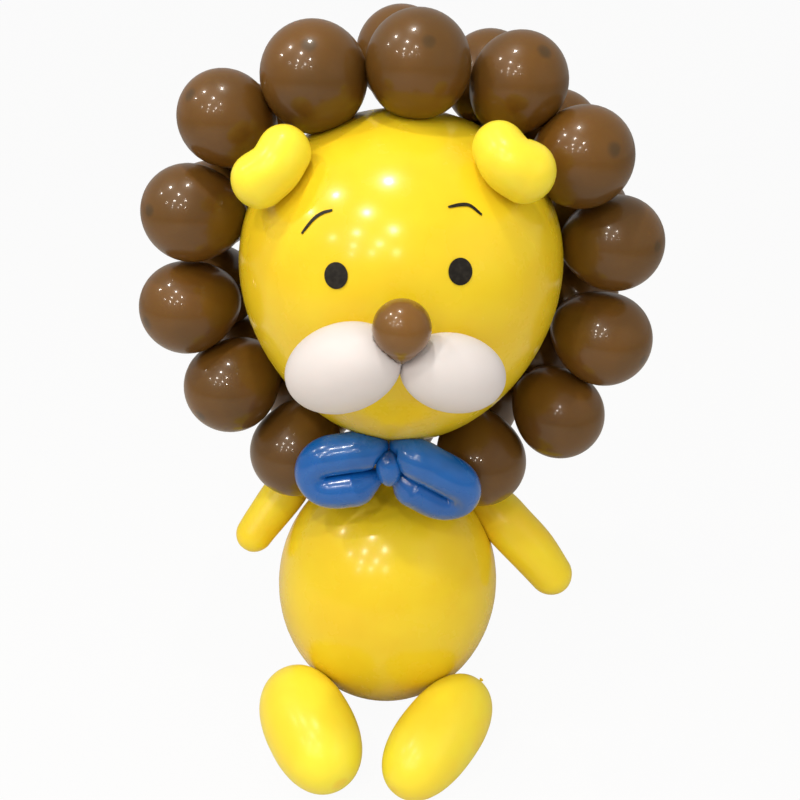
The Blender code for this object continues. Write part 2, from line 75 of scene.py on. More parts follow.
# Where the rings of a round end lie, as shares of its radius, and how close the first ring of a
# balloon comes to its crown, in degrees
CAP_RINGS = (0.012, 0.05, 0.11, 0.19, 0.29, 0.41, 0.54, 0.68, 0.84)
CROWN_RING = 1.2


# Shaping


def leave_all():
    """Deselects everything, as nothing may follow along with the next operator."""
    if bpy.context.mode != "OBJECT":
        bpy.ops.object.mode_set(mode="OBJECT")
    bpy.ops.object.select_all(action="DESELECT")


def take(piece):
    """Selects this piece alone."""
    leave_all()
    piece.select_set(True)
    bpy.context.view_layer.objects.active = piece


def edit(piece):
    """Opens the piece in edit mode with nothing in it selected."""
    take(piece)
    bpy.ops.object.mode_set(mode="EDIT")
    bpy.ops.mesh.select_mode(type="VERT")
    bpy.ops.mesh.select_all(action="DESELECT")


def choose(piece, wanted):
    """In edit mode, selects the points whose place suits, and no others."""
    bpy.ops.mesh.select_all(action="DESELECT")
    work = bmesh.from_edit_mesh(piece.data)
    for point in work.verts:
        point.select = wanted(point.co)
    work.select_flush_mode()
    work.select_flush(True)
    bmesh.update_edit_mesh(piece.data)


def smooth(piece):
    take(piece)
    bpy.ops.object.shade_smooth()


def smooth_but_edges(piece):
    take(piece)
    bpy.ops.object.shade_smooth_by_angle(angle=math.radians(SOFT_EDGE))


def settle_in(piece, matrix):
    """Puts the piece in its place, and its place into its mesh."""
    piece.matrix_world = matrix
    take(piece)
    bpy.ops.object.transform_apply(location=True, rotation=True, scale=True)


def finish_with(piece, kind, **values):
    """Adds a modifier with these values and applies it."""
    take(piece)
    modifier = piece.modifiers.new(kind.lower(), kind)
    for key, value in values.items():
        setattr(modifier, key, value)
    bpy.ops.object.modifier_apply(modifier=modifier.name)


def put_in_scene(name, data):
    thing = bpy.data.objects.new(name, data)
    bpy.context.scene.collection.objects.link(thing)
    return thing


def blown(name, rings, sides):
    """An upright balloon, extruded ring by ring from a circle and drawn to a point at both ends.

    Each ring is (height, radius), from the crown down to the lip.
    """
    leave_all()
    height, radius = rings[0]
    bpy.ops.mesh.primitive_circle_add(vertices=sides, radius=radius, location=(0.0, 0.0, height))
    piece = bpy.context.active_object
    piece.name = piece.data.name = name
    bpy.ops.object.transform_apply(location=True, rotation=True, scale=True)
    bpy.ops.object.mode_set(mode="EDIT")
    bpy.ops.mesh.select_mode(type="VERT")
    bpy.ops.mesh.select_all(action="SELECT")
    for (height, radius), (next_height, next_radius) in zip(rings, rings[1:]):
        bpy.ops.mesh.extrude_region_move(
            TRANSFORM_OT_translate={"value": (0.0, 0.0, next_height - height)})
        grow = next_radius / radius
        bpy.ops.transform.resize(value=(grow, grow, 1.0), center_override=(0.0, 0.0, next_height))
    bpy.ops.mesh.merge(type="CENTER")
    crown, near_crown = rings[0]
    choose(piece, lambda co: abs(co.z - crown) < SAME_PLACE / 10
           and abs(co.xy.length - near_crown) < SAME_PLACE)
    bpy.ops.mesh.merge(type="CENTER")
    bpy.ops.mesh.select_all(action="SELECT")
    bpy.ops.mesh.normals_make_consistent(inside=False)
    bpy.ops.object.mode_set(mode="OBJECT")
    lip = rings[-1][0]
    mark(piece, lambda co: (crown - co.z, co.z - lip))
    smooth(piece)
    return piece


def mark(piece, measure):
    """Stores how far each point is from the crown and from the lip, in metres."""
    mesh = piece.data
    crown = mesh.attributes.new("from_crown", "FLOAT", "POINT")
    lip = mesh.attributes.new("from_lip", "FLOAT", "POINT")
    for point in mesh.vertices:
        crown.data[point.index].value, lip.data[point.index].value = measure(point.co)


def pleat(piece, low, high, deep, sides):
    """Draws in every second lengthwise line of points between two heights."""
    edit(piece)
    step = 2 * math.pi / sides
    choose(piece, lambda co: low < co.z < high and co.xy.length > 10 * SAME_PLACE
           and round(math.atan2(co.y, co.x) / step) % 2 == 0)
    bpy.ops.transform.resize(value=(deep, deep, 1.0), center_override=(0.0, 0.0, low))
    bpy.ops.object.mode_set(mode="OBJECT")


def round_rings(wide, high, count, taper=0.0, last=180.0, fullness=2.0, chin=0.0):
    """Rings of a round or long balloon from its crown to so many degrees, each (height, radius).

    A taper makes the crown's half wider, a fullness over 2 squares the sides off, and a chin
    draws the lower half out downwards by so much.
    """
    rings = []
    for k in range(count + 1):
        angle = math.radians(max(last * k / count, CROWN_RING))
        angle = min(angle, math.radians(180.0 - CROWN_RING))
        across, along = math.sin(angle), math.cos(angle)
        radius = wide / 2 * across ** (2 / fullness) * (1.0 + taper * along)
        height = high / 2 * math.copysign(abs(along) ** (2 / fullness), along)
        height -= chin * min(along, 0.0) ** 2
        rings.append((height, radius))
    return rings


def neck_rings(start, neck_d, length, knot_d, tail):
    """Rings that draw a balloon in from its last ring to a tied neck, a knot and a flared lip."""
    height, radius = start
    end = height - length
    rings = []
    for share in NECK_RINGS:
        pull = (1.0 - share) ** NECK_PULL
        rings.append((height - length * share, neck_d / 2 + (radius - neck_d / 2) * pull))
    rings += [(end - share * tail, neck_d * size) for share, size in PINCH_RINGS]
    return rings + [(end - share * tail, knot_d * size) for share, size in KNOT_RINGS + LIP_RINGS]


def turn_to(direction, place):
    """The matrix that points +Z along a direction, at a place."""
    turned = Vector(direction).to_track_quat("Z", "Y").to_matrix().to_4x4()
    return Matrix.Translation(place) @ turned


def curve_point(points, k, t):
    """A point on the smooth curve, a share t of the way from point k to the next."""
    before = points[k - 1] if k else points[0] * 2 - points[1]
    after = points[k + 2] if k + 2 < len(points) else points[-1] * 2 - points[-2]
    start, end = points[k], points[k + 1]
    slope_a, slope_b = (end - before) / 2, (after - start) / 2
    return (start * (2 * t**3 - 3 * t**2 + 1) + slope_a * (t**3 - 2 * t**2 + t)
            + end * (3 * t**2 - 2 * t**3) + slope_b * (t**3 - t**2))


def smooth_path(points, fine=20):
    """Points close together along the smooth curve through the points, with their distances."""
    line = [curve_point(points, k, s / fine) for k in range(len(points) - 1) for s in range(fine)]
    line.append(points[-1])
    distances = [0.0]
    for a, b in zip(line, line[1:]):
        distances.append(distances[-1] + (b.xyz - a.xyz).length)
    return line, distances


def at_distance(line, distances, wanted):
    """The point so far along the line."""
    for k in range(len(line) - 1):
        if distances[k + 1] >= wanted:
            share = (wanted - distances[k]) / (distances[k + 1] - distances[k])
            return line[k].lerp(line[k + 1], share)
    return line[-1]


def bent_balloon(name, stations, sides, sections, round_start=False, round_end=True):
    """A straight balloon blown to the stations' diameters and bent along their smooth path."""
    line, distances = smooth_path([Vector((*point, size)) for point, size in stations])
    length = distances[-1]
    start = stations[0][1] / 2 if round_start else 0.0
    end = stations[-1][1] / 2 if round_end else 0.0
    tube = [start + (length - start - end) * k / (sections - 1) for k in range(sections)]
    places = [start * share for share in CAP_RINGS] + tube if round_start else [0.0] + tube[1:]
    if round_end:
        places += [length - end * share for share in reversed(CAP_RINGS)]
    rings = []
    for place in places:
        filled = 1.0
        for near, size in ((place, start), (length - place, end)):
            if size and near < size:
                filled = min(filled, math.sqrt(max(1.0 - (1.0 - near / size) ** 2, 0.0)))
        rings.append((place, at_distance(line, distances, place).w / 2 * filled))
    rings.reverse()
    piece = blown(name, rings, sides)
    data = bpy.data.curves.new(name + "_path", "CURVE")
    data.dimensions = "3D"
    spline = data.splines.new("POLY")
    spline.points.add(len(line) - 1)
    for point, here in zip(spline.points, line):
        point.co = (*here.xyz, 1.0)
    path = put_in_scene(name + "_path", data)
    bpy.context.view_layer.update()
    finish_with(piece, "CURVE", object=path, deform_axis="POS_Z")
    bpy.data.objects.remove(path, do_unlink=True)
    return piece


def dent(piece, cutter):
    """Takes out of a piece what a cutter covers, and removes the cutter."""
    finish_with(piece, "BOOLEAN", operation="DIFFERENCE", solver="EXACT", object=cutter)
    bpy.data.objects.remove(cutter, do_unlink=True)


def press_off(piece, others):
    """Presses a piece in where it reaches into others, as balloons tied close together are."""
    for other in others:
        finish_with(piece, "SHRINKWRAP", target=other, wrap_method="NEAREST_SURFACEPOINT",
                    wrap_mode="OUTSIDE", offset=AIR)


def sit_flat(piece):
    """Presses what reaches under the floor flat onto it."""
    edit(piece)
    choose(piece, lambda co: co.z < 0.0)
    bpy.ops.transform.resize(value=(1.0, 1.0, 0.0), center_override=(0.0, 0.0, 0.0))
    bpy.ops.object.mode_set(mode="OBJECT")


def again(piece, name, matrix):
    """A copy with a mesh of its own, in its place."""
    copy = put_in_scene(name, piece.data.copy())
    copy.data.name = name
    settle_in(copy, matrix)
    return copy


# Skins to place things on


class Skin:
    """The smooth skin of an upright balloon, with the same turns and rises as the part's."""

    def __init__(self, centre, wide, high, taper=0.0, chin=0.0):
        self.centre, self.radius, self.half = Vector(centre), wide / 2, high / 2
        self.taper, self.chin = taper, chin

    def normal(self, turn, rise):
        """The way out of the skin."""
        turn, rise = math.radians(turn), math.radians(rise)
        below = min(math.sin(rise), 0.0)
        side = Vector((math.cos(rise) * (self.half - 2 * self.chin * below),
                       self.radius * (math.sin(rise) - self.taper * math.cos(2 * rise))))
        side.normalize()
        return Vector((math.sin(turn) * side.x, -math.cos(turn) * side.x, side.y))

    def point(self, turn, rise, lift=0.0):
        """A place so far above the skin."""
        radius = (self.radius * math.cos(math.radians(rise))
                  * (1.0 + self.taper * math.sin(math.radians(rise))))
        angle, below = math.radians(turn), min(math.sin(math.radians(rise)), 0.0)
        height = self.half * math.sin(math.radians(rise)) - self.chin * below**2
        on_skin = Vector((math.sin(angle) * radius, -math.cos(angle) * radius, height))
        return self.centre + on_skin + self.normal(turn, rise) * lift


def level_along(turn):
    """The level way along a skin, towards larger turns."""
    turn = math.radians(turn)
    return Vector((math.cos(turn), math.sin(turn), 0.0))


def under_top(node, drop):
    """The place in the middle of a CAD node, so far under its top."""
    low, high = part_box(node)
    middle = (low + high) / 2
    return Vector((middle.x, middle.y, high.z - drop))


head_middle = under_top("head", HEAD_H / 2)
body_middle = under_top("body", 0.0)
body_middle.z = BODY_H / 2 - BODY_SINK
head_skin = Skin(head_middle, HEAD_D, HEAD_H, HEAD_TAPER, HEAD_CHIN)
body_skin = Skin(body_middle, BODY_D, BODY_H)
lean = math.radians(BODY_LEAN)
body_down = Vector((-math.sin(lean), 0.0, -math.cos(lean)))


# Finishes


def new_group(name, inputs, outputs):
    """A shader node group with named inputs, each (name, kind, value), and outputs."""
    group = bpy.data.node_groups.new(name, "ShaderNodeTree")
    for label, kind, value in inputs:
        socket = group.interface.new_socket(label, in_out="INPUT", socket_type="NodeSocket" + kind)
        socket.default_value = value
    for label, kind in outputs:
        group.interface.new_socket(label, in_out="OUTPUT", socket_type="NodeSocket" + kind)
    return group, add(group, "NodeGroupInput"), add(group, "NodeGroupOutput")


def add(tree, kind, **values):
    node = tree.nodes.new(kind)
    for key, value in values.items():
        setattr(node, key, value)
    return node


def join(tree, source, target):
    tree.links.new(source, target)


def new_finish(name):
    """A new material, its nodes and its shader."""
    finish = bpy.data.materials.new(name)
    finish.use_nodes = True
    tree = finish.node_tree
    return finish, tree, tree.nodes["Principled BSDF"]


def raise_skin(tree, shader, height, strength, distance):
    """Gives a shader a fine relief."""
    bump = add(tree, "ShaderNodeBump")
    bump.inputs["Strength"].default_value = strength
    bump.inputs["Distance"].default_value = distance
    join(tree, height, bump.inputs["Height"])
    join(tree, bump.outputs["Normal"], shader.inputs["Normal"])


def noise(tree, where, scale, detail=2.0, rough=0.5):
    node = add(tree, "ShaderNodeTexNoise")
    join(tree, where, node.inputs["Vector"])
    if isinstance(scale, float):
        node.inputs["Scale"].default_value = scale
    else:
        join(tree, scale, node.inputs["Scale"])
    node.inputs["Detail"].default_value = detail
    node.inputs["Roughness"].default_value = rough
    return node.outputs["Fac"]


def spread(tree, value, low, high, to_low=0.0, to_high=1.0, soft=True):
    """Brings a value from one range into another, eased at both ends where it is soft."""
    node = add(tree, "ShaderNodeMapRange", interpolation_type="SMOOTHSTEP" if soft else "LINEAR")
    join(tree, value, node.inputs["Value"])
    for key, number in (("From Min", low), ("From Max", high), ("To Min", to_low),
                        ("To Max", to_high)):
        if isinstance(number, float):
            node.inputs[key].default_value = number
        else:
            join(tree, number, node.inputs[key])
    return node.outputs["Result"]


def sums(tree, operation, a, b):
    node = add(tree, "ShaderNodeMath", operation=operation)
    for socket, value in zip(node.inputs, (a, b)):
        if isinstance(value, float):
            socket.default_value = value
        else:
            join(tree, value, socket)
    return node.outputs[0]


def blend(tree, share, a, b):
    node = add(tree, "ShaderNodeMix", data_type="RGBA")
    sockets = {s.name: s for s in node.inputs if s.type == "RGBA"}
    for target, value in ((node.inputs[0], share), (sockets["A"], a), (sockets["B"], b)):
        if isinstance(value, (float, tuple)):
            target.default_value = value
        else:
            join(tree, value, target)
    return next(s for s in node.outputs if s.type == "RGBA")


def make_latex_film():
    """Colour of blown latex: thin and bright on the belly, thicker and deeper at crown and neck. On
    a bow loop, the deeper colour at the ends by the knot is painted shade.
    """
    group, given, out = new_group(
        "latex_film",
        (("Stretched", "Color", (0.9, 0.6, 0.05, 1.0)), ("Thick", "Color", (0.7, 0.4, 0.02, 1.0)),
         ("Cloud Scale", "Float", 9.0), ("Cloud Share", "Float", 0.35),
         ("Crown Reach", "Float", 0.004), ("Crown Share", "Float", 0.6),
         ("Neck Reach", "Float", 0.02)),
        (("Color", "Color"), ("Thickness", "Float")))
    place = add(group, "ShaderNodeTexCoord").outputs["Object"]
    cloud = noise(group, place, given.outputs["Cloud Scale"], 3.0, 0.55)
    cloud = sums(group, "MULTIPLY", spread(group, cloud, 0.35, 0.68), given.outputs["Cloud Share"])
    crown = add(group, "ShaderNodeAttribute", attribute_name="from_crown").outputs["Fac"]
    lip = add(group, "ShaderNodeAttribute", attribute_name="from_lip").outputs["Fac"]
    wander = sums(group, "MULTIPLY", noise(group, place, 60.0, 2.0), given.outputs["Crown Reach"])
    crown = sums(group, "ADD", crown, sums(group, "MULTIPLY", wander, 0.6))
    crown = spread(group, crown, sums(group, "MULTIPLY", given.outputs["Crown Reach"], 0.25),
                   sums(group, "MULTIPLY", given.outputs["Crown Reach"], 1.5), 1.0, 0.0)
    crown = sums(group, "MULTIPLY", crown, given.outputs["Crown Share"])
    neck = spread(group, lip, 0.0, given.outputs["Neck Reach"], 0.85, 0.0)
    thick = sums(group, "MAXIMUM", sums(group, "MAXIMUM", crown, neck), cloud)
    join(group, blend(group, thick, given.outputs["Stretched"], given.outputs["Thick"]),
         out.inputs["Color"])
    join(group, thick, out.inputs["Thickness"])
    return group


def make_handled_skin():
    """Roughness and relief of a handled balloon: dusty talc haze, finger smears, fine skin."""
    group, given, out = new_group(
        "handled_skin",
        (("Smooth", "Float", 0.2), ("Hazy", "Float", 0.34), ("Smear Scale", "Float", 14.0)),
        (("Roughness", "Float"), ("Relief", "Float")))
    place = add(group, "ShaderNodeTexCoord").outputs["Object"]
    smear = noise(group, place, given.outputs["Smear Scale"], 4.0, 0.6)
    smear = spread(group, smear, 0.42, 0.72)
    speck = spread(group, noise(group, place, 420.0, 2.0), 0.62, 0.78, 0.0, 0.35)
    haze = sums(group, "MAXIMUM", smear, speck)
    node = add(group, "ShaderNodeMix", data_type="FLOAT")
    join(group, haze, node.inputs[0])
    join(group, given.outputs["Smooth"], node.inputs[2])
    join(group, given.outputs["Hazy"], node.inputs[3])
    join(group, node.outputs[0], out.inputs["Roughness"])
    relief = sums(group, "ADD", sums(group, "MULTIPLY", noise(group, place, 34.0, 2.0), 0.7),
                  sums(group, "MULTIPLY", noise(group, place, 900.0, 1.0), 0.05))
    join(group, relief, out.inputs["Relief"])
    return group


latex_film = make_latex_film()
handled_skin = make_handled_skin()


def latex(name, stretched, thick, smooth_at, hazy_at, coat=0.5, coat_rough=0.15,
          glow_colour=(1.0, 0.45, 0.08), crown=(0.001, 0.5), neck=0.02, relief=0.0004, gloss=0.3):
    """Blown latex: a slightly milky skin under a clear gloss."""
    finish, tree, shader = new_finish(name)
    film = add(tree, "ShaderNodeGroup", node_tree=latex_film)
    for label, value in (("Stretched", (*stretched, 1.0)), ("Thick", (*thick, 1.0)),
                         ("Cloud Scale", 9.0), ("Cloud Share", 0.35),
                         ("Crown Reach", crown[0]), ("Crown Share", crown[1]),
                         ("Neck Reach", neck)):
        film.inputs[label].default_value = value
    skin = add(tree, "ShaderNodeGroup", node_tree=handled_skin)
    skin.inputs["Smooth"].default_value = smooth_at
    skin.inputs["Hazy"].default_value = hazy_at
    raise_skin(tree, shader, skin.outputs["Relief"], 0.5, relief)
    join(tree, film.outputs["Color"], shader.inputs["Base Color"])
    join(tree, skin.outputs["Roughness"], shader.inputs["Roughness"])
    for label, value in (("Metallic", 0.0), ("IOR", 1.5), ("Specular IOR Level", gloss),
                         ("Coat IOR", 1.45), ("Coat Weight", coat),
                         ("Coat Roughness", coat_rough), ("Subsurface Weight", 0.12),
                         ("Subsurface Radius", glow_colour), ("Subsurface Scale", 0.03)):
        shader.inputs[label].default_value = value
    return finish


# The arms, ears and legs are the same yellow latex as the head and body. Their two yellows below
# are lit copies of it, painted lighter: painted light on the arms, and on the ears and legs.
yellow_round = latex("yellow_latex_round", (0.835, 0.618, 0.020), (0.76, 0.45, 0.006), 0.24, 0.34,
                     coat=0.38, gloss=0.22)
yellow_long_painted_light = latex("yellow_latex_long_painted_light", (0.88, 0.685, 0.026), (0.84, 0.45, 0.010), 0.34, 0.46,
                    coat=0.30, coat_rough=0.24, crown=(0.0011, 0.45), neck=0.012, gloss=0.22)
yellow_pale_painted_light = latex("yellow_latex_pale_painted_light", (0.89, 0.770, 0.045), (0.86, 0.52, 0.016), 0.34, 0.46,
                    coat=0.30, coat_rough=0.24, crown=(0.0011, 0.45), neck=0.012, gloss=0.22)
brown_skin = latex("brown_latex", (0.138, 0.060, 0.008), (0.050, 0.031, 0.011), 0.34, 0.44,
                   crown=(0.0010, 0.75), coat=0.52, coat_rough=0.11, relief=0.00006, gloss=0.24)
nose_skin = latex("nose_latex", (0.188, 0.084, 0.014), (0.11, 0.056, 0.014), 0.32, 0.42,
                  crown=(0.0006, 0.4), coat=0.6, coat_rough=0.12, relief=0.00006, gloss=0.26)
white_skin = latex("white_latex", (0.680, 0.645, 0.640), (0.61, 0.560, 0.555), 0.44, 0.54,
                   coat=0.12, coat_rough=0.32, glow_colour=(1.0, 0.6, 0.5), relief=0.0002,
                   gloss=0.2)
# On the bow's loops, the thick colour near both ends, by the knot, is painted shade in the creases
# there.
blue_skin = latex("blue_latex", (0.006, 0.128, 0.47), (0.002, 0.040, 0.20), 0.24, 0.34, coat=0.8,
                  coat_rough=0.14, glow_colour=(0.2, 0.5, 1.0), relief=0.0001, gloss=0.30)


def vinyl(name):
    """Black adhesive film with a faint grain."""
    finish, tree, shader = new_finish(name)
    place = add(tree, "ShaderNodeTexCoord").outputs["Object"]
    shade = spread(tree, noise(tree, place, 180.0, 3.0), 0.35, 0.7)
    join(tree, blend(tree, shade, (0.012, 0.010, 0.008, 1.0), (0.022, 0.019, 0.015, 1.0)),
         shader.inputs["Base Color"])
    join(tree, spread(tree, noise(tree, place, 90.0, 2.0), 0.3, 0.7, 0.42, 0.58),
         shader.inputs["Roughness"])
    shader.inputs["Specular IOR Level"].default_value = 0.2
    raise_skin(tree, shader, noise(tree, place, 1400.0, 2.0), 0.2, 0.0001)
    return finish


black_vinyl = vinyl("black_vinyl")


def done(piece, finish, slot, *nodes):
    """Gives a piece its finish, and puts it in the place of its CAD nodes."""
    piece.data.materials.clear()
    piece.data.materials.append(finish)
    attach(piece, "root")
    if nodes:
        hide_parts(*nodes)
    return piece


# Head and body


def make_head():
    rings = round_rings(HEAD_D, HEAD_H, LARGE_RINGS, HEAD_TAPER, LARGE_LAST, chin=HEAD_CHIN)
    rings += neck_rings(rings[-1], *HEAD_TIE)
    head = blown("head_balloon", rings, LARGE_SIDES)
    settle_in(head, Matrix.Translation(head_middle))
    return done(head, yellow_round, "yellow_latex", "head")


def make_body():
    rings = round_rings(BODY_D, BODY_H, LARGE_RINGS, 0.0, LARGE_LAST)
    rings += neck_rings(rings[-1], *BODY_TIE)
    body = blown("body_balloon", rings, LARGE_SIDES)
    settle_in(body, turn_to(body_down, body_middle))
    sit_flat(body)
    return done(body, yellow_round, "yellow_latex", "body")


def head_press():
    """What the head takes up, with the air around it."""
    rings = round_rings(HEAD_D + 2 * AIR, HEAD_H + 2 * AIR, LARGE_RINGS, HEAD_TAPER, chin=HEAD_CHIN)
    press = blown("head_press", rings, LARGE_SIDES)
    settle_in(press, Matrix.Translation(head_middle))
    return press


def body_press():
    """What the body takes up, with the air around it."""
    rings = round_rings(BODY_D + 2 * AIR, BODY_H + 2 * AIR, LARGE_RINGS)
    press = blown("body_press", rings, LARGE_SIDES)
    settle_in(press, turn_to(body_down, body_middle))
    return press


# Mane: balloons a little drawn out towards their necks, in the front row larger towards its top.
# Three low ones of the back row are larger and higher, by (share, lift), and fill the gaps under
# the chin. The crowns of the first two lean over to the right, in degrees.
MANE_ROWS = (("front", 13), ("back", 14))
MANE_NECK, MANE_R, MANE_EGG = 0.010, 0.0565, 0.0160
MANE_RINGS, MANE_SIDES, MANE_LAST, MANE_PLEAT = 32, 48, 154.0, 0.86
MANE_NEAR, MANE_SWELL = 0.020, 0.07
LIP_DEPTH = 0.0009
CHIN_FILL = {"mane_back_07": (1.08, 0.005), "mane_back_08": (1.18, 0.010),
             "mane_back_09": (1.12, 0.005)}
CROWN_LEAN = {"mane_front_01": 22.0, "mane_front_02": 16.0}


def crown_and_lip(node):
    """The crown and the lip of a round CAD balloon: its two ends, the lip nearer to the head."""
    points = [v.co.copy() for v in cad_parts[node].data.vertices]
    middle = sum(points, Vector()) / len(points)
    end = max(points, key=lambda co: (co - middle).length)
    other = max(points, key=lambda co: (co - end).length)
    lip, crown = sorted((end, other), key=lambda co: (co - head_middle).length)
    lips = [co for co in points if (co - crown).length > (lip - crown).length - LIP_DEPTH]
    return crown, sum(lips, Vector()) / len(lips)


def make_mane(others):
    """Round balloons that are a little drawn out towards their necks, pressed by each other."""
    rings = round_rings(2 * MANE_R, 2 * MANE_R, MANE_RINGS, 0.0, MANE_LAST, chin=MANE_EGG)
    neck = neck_rings(rings[-1], *MANE_TIE)
    first = blown("mane_balloon", rings + neck, MANE_SIDES)
    pleat(first, neck[-1][0], neck[0][0], MANE_PLEAT, MANE_SIDES)
    made = []
    for row, count in MANE_ROWS:
        for k in range(1, count + 1):
            node = f"mane_{row}_{k:02d}"
            crown, lip = crown_and_lip(node)
            way = (crown - lip).normalized()
            radius = ((crown - lip).length - MANE_NECK) / 2
            if row == "front":
                radius *= 1.0 + MANE_SWELL * max(crown.z - head_middle.z, 0.0) / HEAD_D
            swell, lift = CHIN_FILL.get(node, (1.0, 0.0))
            radius *= swell
            centre = crown - way * radius + UP * lift
            way.rotate(Matrix.Rotation(math.radians(CROWN_LEAN.get(node, 0.0)), 3, "Y"))
            place = turn_to(way, centre) @ Matrix.Scale(radius / MANE_R, 4)
            ball = again(first, node + "_balloon", place)
            near = [other for other, middle, size in made
                    if (middle - centre).length < size + radius + MANE_NEAR]
            press_off(ball, [*others, *near])
            made.append((ball, centre, radius))
            done(ball, brown_skin, "brown_latex", node)
    bpy.data.objects.remove(first, do_unlink=True)


# Nose: the rings of its tip are (height, radius) from its middle
NOSE_D, NOSE_RINGS, NOSE_SIDES, NOSE_LAST = 0.060, 24, 40, 144.0
NOSE_TIP = ((-0.0262, 0.0163), (-0.0280, 0.0146), (-0.0298, 0.0127), (-0.0315, 0.0107),
            (-0.0331, 0.0087), (-0.0346, 0.0067), (-0.0360, 0.0048), (-0.0372, 0.0031),
            (-0.0381, 0.0017), (-0.0385, 0.0006))


def nose_shape(name, place, extra=0.0):
    """A small balloon whose underside is drawn out to a drop."""
    rings = round_rings(NOSE_D, NOSE_D, NOSE_RINGS, 0.0, NOSE_LAST)
    rings += NOSE_TIP
    shape = blown(name, [(height, radius + extra) for height, radius in rings], NOSE_SIDES)
    settle_in(shape, Matrix.Translation(place))
    return shape


def make_nose():
    place = under_top("nose", NOSE_D / 2)
    done(nose_shape("nose_balloon", place), nose_skin, "nose_latex", "nose")
    return place


# Muzzle: how deep the head reaches into it, and for each side its size, its place on the head
# and how steeply it slopes down outwards
MUZZLE_DEPTH, MUZZLE_RINGS, MUZZLE_SIDES = 0.8, 34, 48
MUZZLE_RIGHT = {"wide": 0.0844, "long": 0.1192, "turn": 13.8, "rise": -8.3, "slope": 18.6}
MUZZLE_LEFT = {"wide": 0.0944, "long": 0.134, "turn": -15.4, "rise": -6.3, "slope": 25.0}


def egg(name, size, centre, crown, extra=0.0):
    rings = round_rings(size["wide"] + extra, size["long"] + extra, MUZZLE_RINGS)
    piece = blown(name, rings, MUZZLE_SIDES)
    settle_in(piece, turn_to(crown, centre))
    return piece


def make_muzzle(nose_place):
    """Two white balloons pressed by the head and the nose, the left one also by the right one."""
    press = None
    for side, name, size in ((1.0, "muzzle_right", MUZZLE_RIGHT),
                             (-1.0, "muzzle_left", MUZZLE_LEFT)):
        centre = head_skin.point(size["turn"], size["rise"], size["wide"] / 2 * MUZZLE_DEPTH)
        level = level_along(size["turn"]) * side
        downhill = level.cross(head_skin.normal(size["turn"], size["rise"])) * side
        slope = math.radians(size["slope"])
        crown = level * math.cos(slope) + downhill * math.sin(slope)
        piece = egg(name + "_balloon", size, centre, crown)
        dent(piece, head_press())
        dent(piece, nose_shape("nose_press", nose_place, AIR))
        if press is None:
            press = egg(name + "_press", size, centre, crown, 2 * AIR)
        else:
            dent(piece, press)
        smooth(piece)
        done(piece, white_skin, "white_latex", name)


# Eyes and brows: thin stickers that lie on the head. An eye is (width, height, turn, rise), and a
# brow the (turn, rise) of points along it.
EYES = {"eye_left": (0.0280, 0.0295, -20.7, 17.0), "eye_right": (0.0280, 0.0300, 18.5, 18.4)}
BROWS = {"brow_left": ((-35.6, 27.8), (-32.5, 32.6), (-29.5, 35.1), (-25.7, 36.5)),
         "brow_right": ((17.2, 38.1), (22.0, 38.5), (25.9, 37.9), (29.6, 34.5))}
EYE_SIDES, EYE_RINGS = 48, (0.012, 0.06, 0.12, 0.12, 0.10)
BROW_W, BROW_SECTIONS, BROW_STEP = 0.0040, 28, 0.02
BROW_END, BROW_ROUND = 0.55, 0.6
STICKER_LIFT, STICKER = 0.0004, 0.0005
LAY_FROM, LAY_ROUNDS = 0.01, 12


def thicken(sheet):
    """Gives a sheet in edit mode its thickness, outwards."""
    bpy.ops.mesh.select_all(action="SELECT")
    bpy.ops.mesh.normals_make_consistent(inside=False)
    bpy.ops.object.mode_set(mode="OBJECT")
    finish_with(sheet, "SOLIDIFY", thickness=STICKER, offset=1.0)
    smooth_but_edges(sheet)


def make_eyes():
    for name, (wide, high, turn, rise) in EYES.items():
        leave_all()
        bpy.ops.mesh.primitive_circle_add(vertices=EYE_SIDES, radius=0.5, fill_type="NGON")
        eye = bpy.context.active_object
        eye.name = eye.data.name = name + "_sticker"
        bpy.ops.object.mode_set(mode="EDIT")
        bpy.ops.mesh.select_mode(type="FACE")
        bpy.ops.mesh.select_all(action="SELECT")
        for inset in EYE_RINGS:
            bpy.ops.mesh.inset(thickness=inset, depth=0.0)
        bpy.ops.mesh.poke()
        bpy.ops.object.mode_set(mode="OBJECT")
        normal, level = head_skin.normal(turn, rise), level_along(turn)
        over = normal.cross(level)
        basis = Matrix((level * wide, over * high, normal)).transposed().to_4x4()
        settle_in(eye, Matrix.Translation(head_skin.point(turn, rise, LAY_FROM)) @ basis)
        place_on_head(eye)
        done(eye, black_vinyl, "black_vinyl", name)


def place_on_head(sheet):
    """Lays a thin sheet on the skin of the head and gives it its thickness."""
    edit(sheet)
    work = bmesh.from_edit_mesh(sheet.data)
    for point in work.verts:
        off = point.co - head_middle
        turn = math.degrees(math.atan2(off.x, -off.y))
        rise = math.degrees(math.atan2(off.z, off.xy.length))
        for _ in range(LAY_ROUNDS):
            here = head_skin.point(turn, rise) - head_middle
            rise += math.degrees(math.atan2(off.z, off.xy.length)
                                 - math.atan2(here.z, here.xy.length))
        point.co = head_skin.point(turn, rise, STICKER_LIFT)
    bmesh.update_edit_mesh(sheet.data)
    thicken(sheet)


